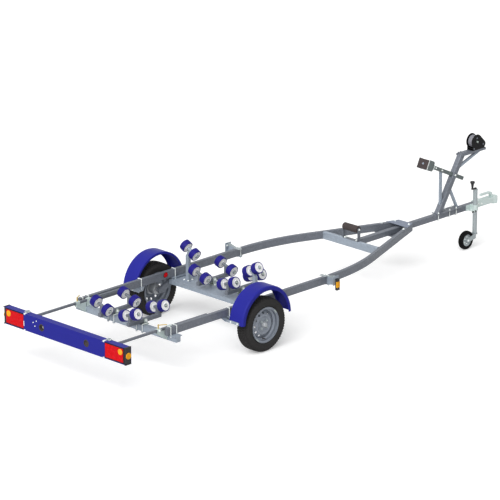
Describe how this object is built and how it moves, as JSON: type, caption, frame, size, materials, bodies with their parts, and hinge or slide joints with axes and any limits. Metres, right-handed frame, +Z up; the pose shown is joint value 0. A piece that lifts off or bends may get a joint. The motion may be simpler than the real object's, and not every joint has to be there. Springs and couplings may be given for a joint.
{
  "type": "boat trailer",
  "caption": "Single-axle roller boat trailer with bent side rails, rocking roller bogies, leaning winch post, jockey wheel, mudguards and a pull-out light board.",
  "frame": {"origin": "on the ground, at the middle of the trailer's length and width", "axes": "+X to the trailer's right, +Y forward to the coupling, +Z up"},
  "size_m": [1.726, 6.222, 1.208],
  "materials": {
    "galvanised": "hot-dip galvanised, satin",
    "bright_galvanised": "bright zinc, satin",
    "zinc_plate": "pale zinc plate",
    "gold_zinc": "yellow passivated zinc",
    "blue_paint": "gloss blue",
    "black_paint": "satin black",
    "black_plastic": "moulded",
    "red_lens": "clear red",
    "amber_lens": "clear amber",
    "road_tyre": "matt rubber",
    "wheel_steel": "silver paint",
    "hub_steel": "bare steel",
    "dark_rubber": "matt rubber",
    "roller_plastic": "blue tread over a white core"
  },
  "bodies": {
    "frame": {"rail_left": "galvanised", "rail_right": "galvanised", "drawbar": "galvanised", "front_crossmember": "bright_galvanised", "axle_crossmember": "bright_galvanised", "rear_crossmember": "bright_galvanised", "axle_beam": "galvanised", "trailing_arms": "galvanised", "mudguard_left": "blue_paint", "mudguard_right": "blue_paint", "mudguard_stays": "bright_galvanised", "u_bolts": "bright_galvanised", "tube_guides": "zinc_plate", "lock_levers": "gold_zinc", "winch_post": "galvanised", "winch_frame": "black_paint", "bow_stop_bar": "galvanised", "bow_stop_block": "dark_rubber", "post_struts": "bright_galvanised", "coupling_body": "zinc_plate", "coupling_handle": "zinc_plate", "jockey_clamp": "bright_galvanised", "keel_bracket": "galvanised", "marker_brackets": "bright_galvanised", "marker_holders": "black_plastic", "marker_lenses": "amber_lens", "rocker_brackets": "zinc_plate", "roller_uprights": "galvanised"},
    "light_board": {"light_board": "blue_paint", "lamp_housings": "black_plastic", "red_lenses": "red_lens", "amber_lenses": "amber_lens", "extension_tubes": "galvanised"},
    "wheel_left": {"tyre_left": "road_tyre", "rim_left": "wheel_steel", "hub_left": "hub_steel"},
    "wheel_right": {"tyre_right": "road_tyre", "rim_right": "wheel_steel", "hub_right": "hub_steel"},
    "jockey_leg": {"jockey_tube": "zinc_plate", "jockey_crank": "black_plastic"},
    "jockey_fork": {"jockey_fork": "zinc_plate"},
    "jockey_wheel": {"jockey_rim": "wheel_steel", "jockey_tyre": "road_tyre"},
    "keel_roller": {"keel_roller": "dark_rubber"},
    "winch_drum": {"winch_drum": "zinc_plate"},
    "rocker_rear_left": {"rocker_rear_left": "galvanised"},
    "rocker_rear_right": {"rocker_rear_right": "galvanised"},
    "rocker_axle_left": {"rocker_axle_left": "galvanised"},
    "rocker_axle_right": {"rocker_axle_right": "galvanised"},
    "rollers_rear_left_aft": {"rollers_rear_left_aft": "roller_plastic"},
    "rollers_rear_left_fore": {"rollers_rear_left_fore": "roller_plastic"},
    "rollers_rear_right_aft": {"rollers_rear_right_aft": "roller_plastic"},
    "rollers_rear_right_fore": {"rollers_rear_right_fore": "roller_plastic"},
    "rollers_axle_left_aft": {"rollers_axle_left_aft": "roller_plastic"},
    "rollers_axle_left_fore": {"rollers_axle_left_fore": "roller_plastic"},
    "rollers_axle_right_aft": {"rollers_axle_right_aft": "roller_plastic"},
    "rollers_axle_right_fore": {"rollers_axle_right_fore": "roller_plastic"},
    "rollers_high_left": {"rollers_high_left": "roller_plastic"},
    "rollers_high_right": {"rollers_high_right": "roller_plastic"}
  },
  "joints": [
    {"name": "light_board_slide", "type": "slide", "parent": "frame", "child": "light_board", "axis": [0, 1, 0], "range_m": [0, 0.45]},
    {"name": "wheel_left_spin", "type": "hinge", "parent": "frame", "child": "wheel_left", "pos_m": [-0.76, -1.197, 0.2735], "axis": [1, 0, 0], "continuous": true},
    {"name": "wheel_right_spin", "type": "hinge", "parent": "frame", "child": "wheel_right", "pos_m": [0.76, -1.197, 0.2735], "axis": [1, 0, 0], "continuous": true},
    {"name": "jockey_lift", "type": "slide", "parent": "frame", "child": "jockey_leg", "axis": [0, 0, 1], "range_m": [0, 0.15]},
    {"name": "jockey_swivel", "type": "hinge", "parent": "jockey_leg", "child": "jockey_fork", "pos_m": [0.075, 2.693, 0.15], "axis": [0, 0, 1], "continuous": true},
    {"name": "jockey_spin", "type": "hinge", "parent": "jockey_fork", "child": "jockey_wheel", "pos_m": [0.075, 2.555, 0.1], "axis": [1, 0, 0], "continuous": true},
    {"name": "keel_roller_spin", "type": "hinge", "parent": "frame", "child": "keel_roller", "pos_m": [0, 0.8833, 0.604], "axis": [1, 0, 0], "continuous": true},
    {"name": "winch_drum_spin", "type": "hinge", "parent": "frame", "child": "winch_drum", "pos_m": [0, 2.74283, 1.13], "axis": [1, 0, 0], "continuous": true},
    {"name": "rocker_rear_left_tilt", "type": "hinge", "parent": "frame", "child": "rocker_rear_left", "pos_m": [-0.2, -2.238, 0.433], "axis": [1, 0, 0], "range_deg": [-8, 8]},
    {"name": "rocker_rear_right_tilt", "type": "hinge", "parent": "frame", "child": "rocker_rear_right", "pos_m": [0.2, -2.238, 0.433], "axis": [1, 0, 0], "range_deg": [-8, 8]},
    {"name": "rocker_axle_left_tilt", "type": "hinge", "parent": "frame", "child": "rocker_axle_left", "pos_m": [-0.2, -0.9045, 0.433], "axis": [1, 0, 0], "range_deg": [-8, 8]},
    {"name": "rocker_axle_right_tilt", "type": "hinge", "parent": "frame", "child": "rocker_axle_right", "pos_m": [0.2, -0.9045, 0.433], "axis": [1, 0, 0], "range_deg": [-8, 8]},
    {"name": "rollers_rear_left_aft_spin", "type": "hinge", "parent": "rocker_rear_left", "child": "rollers_rear_left_aft", "pos_m": [-0.2, -2.421, 0.526], "axis": [0.9511, 0, -0.309], "continuous": true},
    {"name": "rollers_rear_left_fore_spin", "type": "hinge", "parent": "rocker_rear_left", "child": "rollers_rear_left_fore", "pos_m": [-0.2, -2.055, 0.526], "axis": [0.9511, 0, -0.309], "continuous": true},
    {"name": "rollers_rear_right_aft_spin", "type": "hinge", "parent": "rocker_rear_right", "child": "rollers_rear_right_aft", "pos_m": [0.2, -2.421, 0.526], "axis": [0.9511, 0, 0.309], "continuous": true},
    {"name": "rollers_rear_right_fore_spin", "type": "hinge", "parent": "rocker_rear_right", "child": "rollers_rear_right_fore", "pos_m": [0.2, -2.055, 0.526], "axis": [0.9511, 0, 0.309], "continuous": true},
    {"name": "rollers_axle_left_aft_spin", "type": "hinge", "parent": "rocker_axle_left", "child": "rollers_axle_left_aft", "pos_m": [-0.2, -1.0875, 0.526], "axis": [0.9511, 0, -0.309], "continuous": true},
    {"name": "rollers_axle_left_fore_spin", "type": "hinge", "parent": "rocker_axle_left", "child": "rollers_axle_left_fore", "pos_m": [-0.2, -0.7215, 0.526], "axis": [0.9511, 0, -0.309], "continuous": true},
    {"name": "rollers_axle_right_aft_spin", "type": "hinge", "parent": "rocker_axle_right", "child": "rollers_axle_right_aft", "pos_m": [0.2, -1.0875, 0.526], "axis": [0.9511, 0, 0.309], "continuous": true},
    {"name": "rollers_axle_right_fore_spin", "type": "hinge", "parent": "rocker_axle_right", "child": "rollers_axle_right_fore", "pos_m": [0.2, -0.7215, 0.526], "axis": [0.9511, 0, 0.309], "continuous": true},
    {"name": "rollers_high_left_spin", "type": "hinge", "parent": "frame", "child": "rollers_high_left", "pos_m": [-0.437, -0.987, 0.7], "axis": [0.891, 0, -0.454], "continuous": true},
    {"name": "rollers_high_right_spin", "type": "hinge", "parent": "frame", "child": "rollers_high_right", "pos_m": [0.437, -0.987, 0.7], "axis": [0.891, 0, 0.454], "continuous": true}
  ]
}
